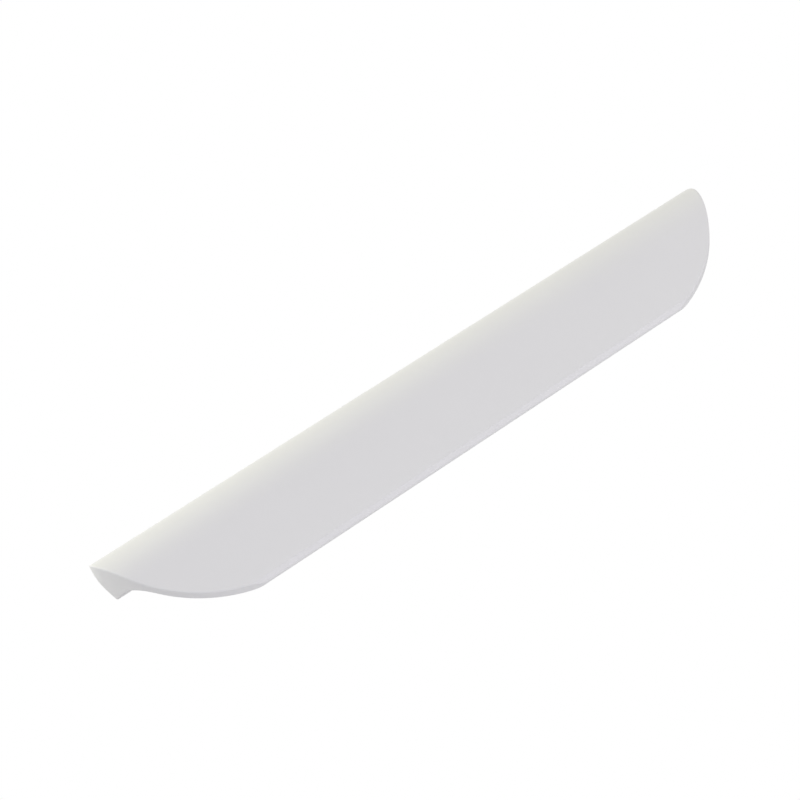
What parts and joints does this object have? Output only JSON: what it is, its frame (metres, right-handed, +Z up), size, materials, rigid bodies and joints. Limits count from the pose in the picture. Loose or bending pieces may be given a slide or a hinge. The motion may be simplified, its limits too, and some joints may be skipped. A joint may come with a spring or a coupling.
{
  "type": "cup pull",
  "caption": "Long cup pull for a drawer or cabinet door, with a curved top, a sloping finger plate and rounded ends, fixed by machine screws from behind.",
  "frame": {"origin": "centre of the mounting face, midway between the two screw holes and on their common line", "axes": "+X along the pull, +Y square to the mounting face and into the drawer front, +Z up"},
  "size_m": [0.2002, 0.0208, 0.0276],
  "materials": {
    "coated_body": "matt white powder coat"
  },
  "bodies": {
    "root": {"handle_body": "coated_body"}
  },
  "joints": []
}
